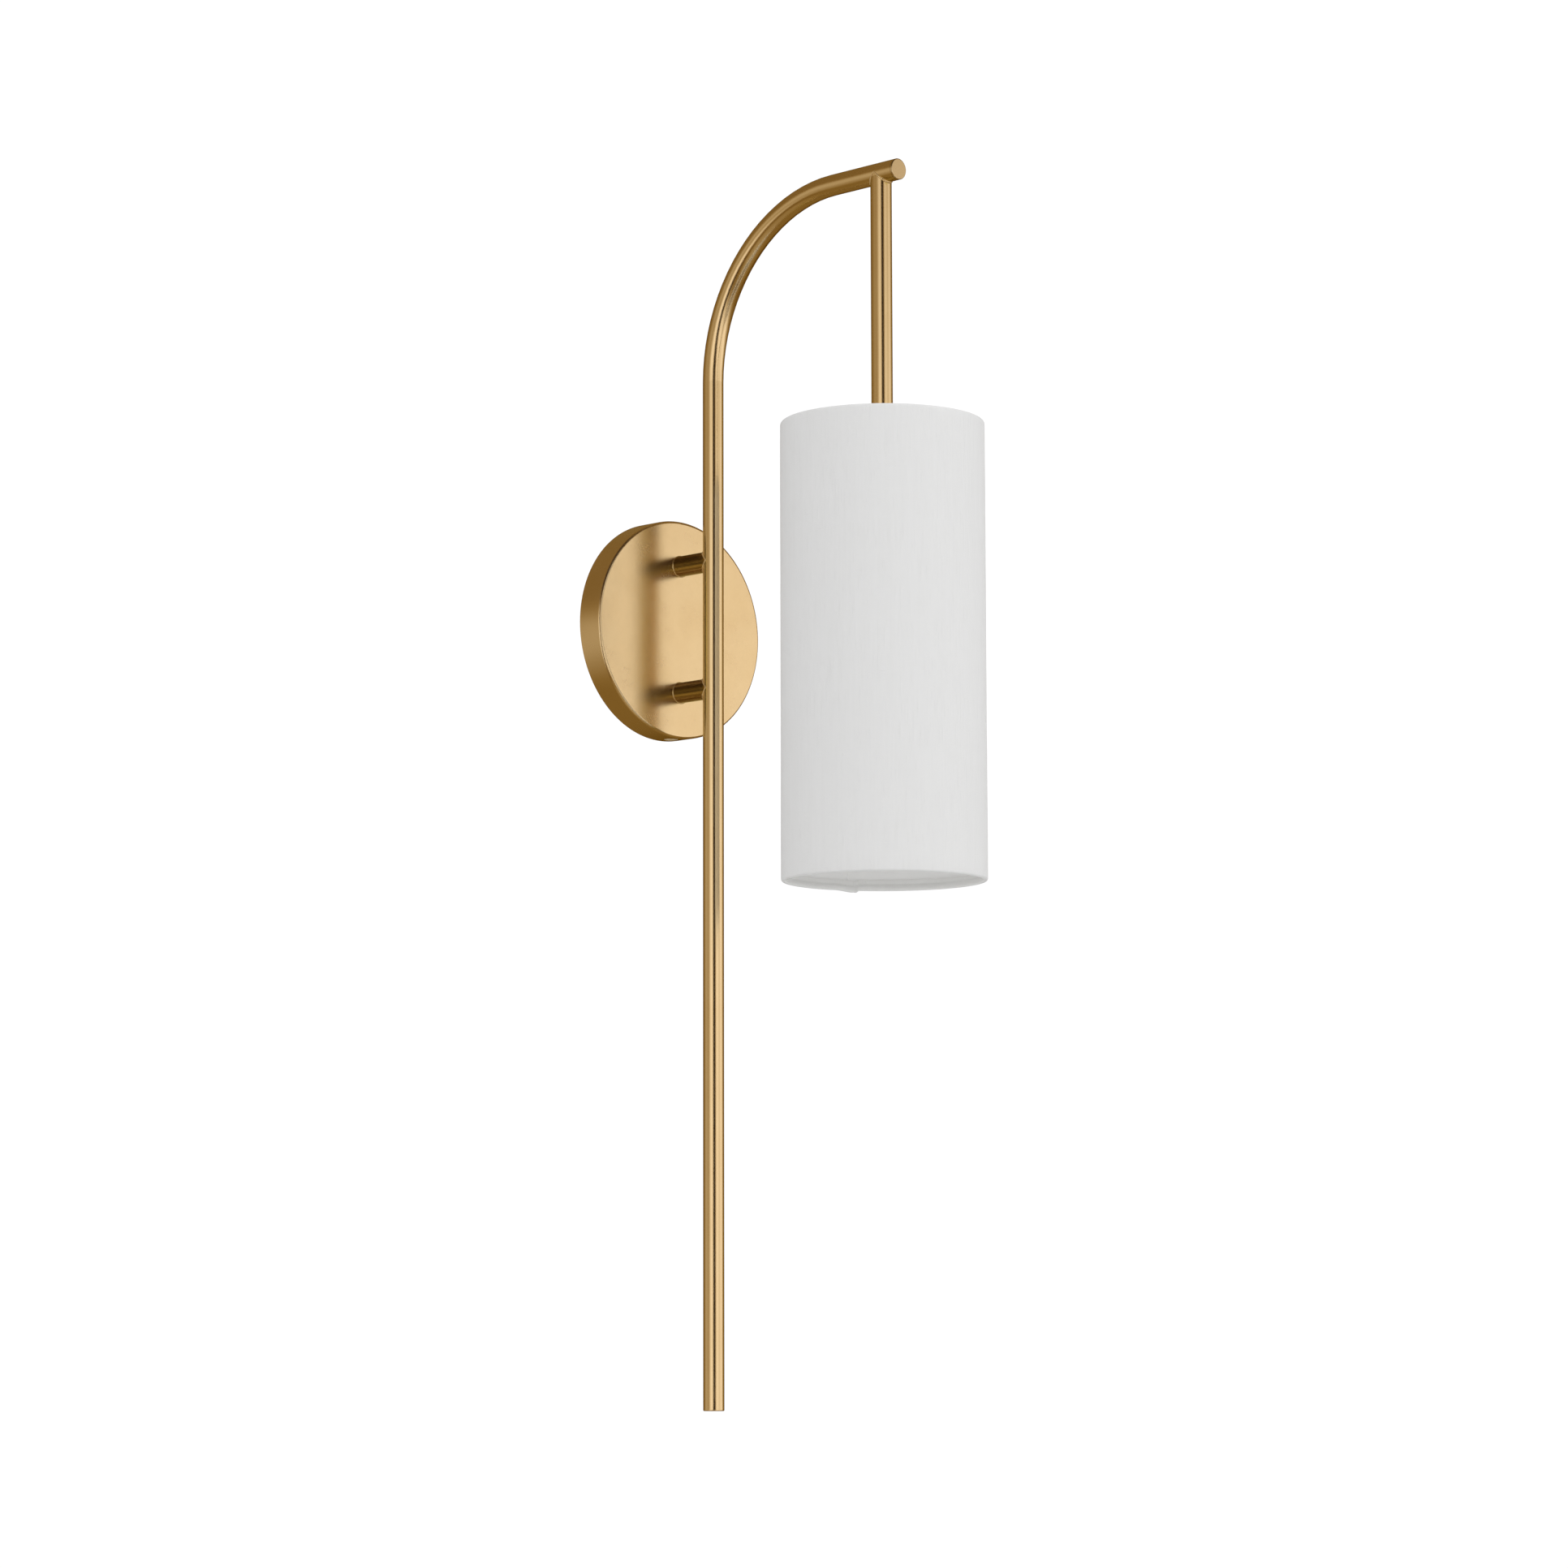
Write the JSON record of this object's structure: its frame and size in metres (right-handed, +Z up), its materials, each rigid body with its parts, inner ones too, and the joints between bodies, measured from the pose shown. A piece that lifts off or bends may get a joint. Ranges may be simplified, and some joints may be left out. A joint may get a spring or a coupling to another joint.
{
  "type": "wall sconce",
  "caption": "Wall sconce with a round canopy, a slim bent brass arm on two short posts, and a tall linen drum shade hung from a drop rod.",
  "frame": {"origin": "middle of the canopy on the wall plane, which is also the middle of the strap's screw slots", "axes": "+Z up along the arm's upright leg, +Y into the wall, -Y out into the room, X sideways"},
  "size_m": [0.127, 0.2375, 0.695],
  "materials": {
    "satin_brass": "satin brushed and lacquered brass",
    "screw_brass": "satin brass plating on a turned screw",
    "raw_brass": "plain stamped brass",
    "zinc_steel": "bright zinc plating",
    "green_steel": "green passivated screw",
    "cap_metal": "rolled sheet",
    "solder": "dull solder",
    "white_enamel": "white baked enamel on steel",
    "black_phenolic": "moulded phenolic",
    "ivory_plastic": "moulded nylon",
    "connector_plastic": "orange moulded plastic",
    "black_insulation": "soft extruded insulation",
    "white_insulation": "soft extruded insulation",
    "green_insulation": "soft extruded insulation",
    "shade_liner": "translucent styrene sheet",
    "white_linen": "plain-woven slubbed linen",
    "frosted_glass": "frosted inside",
    "black_glass": "black vitrite"
  },
  "bodies": {
    "fixture": {"mounting_strap": "zinc_steel", "ground_screw": "green_steel", "canopy": "satin_brass", "canopy_screws": "screw_brass", "upper_post": "satin_brass", "lower_post": "satin_brass", "upper_nipple": "zinc_steel", "lower_nipple": "zinc_steel", "post_washers": "zinc_steel", "post_nuts": "zinc_steel", "nipple_bushing": "ivory_plastic", "arm_tube": "satin_brass", "arm_nose_cap": "satin_brass", "arm_foot_cap": "satin_brass", "drop_rod": "satin_brass", "rod_nipple": "zinc_steel", "rod_nut": "zinc_steel", "holder_cup": "satin_brass", "holder_body": "black_phenolic", "holder_shell": "cap_metal", "holder_contact": "raw_brass", "holder_terminals": "raw_brass", "terminal_screws": "zinc_steel", "live_lead": "black_insulation", "neutral_lead": "white_insulation", "ground_lead": "green_insulation", "wire_connectors": "connector_plastic"},
    "shade_ring_body": {"shade_ring": "black_phenolic"},
    "shade": {"fitter_ring": "white_enamel", "spider_arms": "white_enamel", "upper_wire_ring": "white_enamel", "lower_wire_ring": "white_enamel", "shade_liner": "shade_liner", "shade_cover": "white_linen"},
    "bulb": {"bulb_globe": "frosted_glass", "bulb_cap": "cap_metal", "bulb_insulator": "black_glass", "bulb_tip": "solder"}
  },
  "joints": [
    {"name": "shade_ring_down", "type": "slide", "parent": "fixture", "child": "shade_ring_body", "axis": [0, 0, -1], "range_m": [0, 0.028]},
    {"name": "shade_turn", "type": "hinge", "parent": "shade_ring_body", "child": "shade", "pos_m": [0, -0.1805, 0.05], "axis": [0, 0, 1], "continuous": true},
    {"name": "bulb_out", "type": "slide", "parent": "fixture", "child": "bulb", "axis": [0, 0, -1], "range_m": [0, 0.24]}
  ]
}
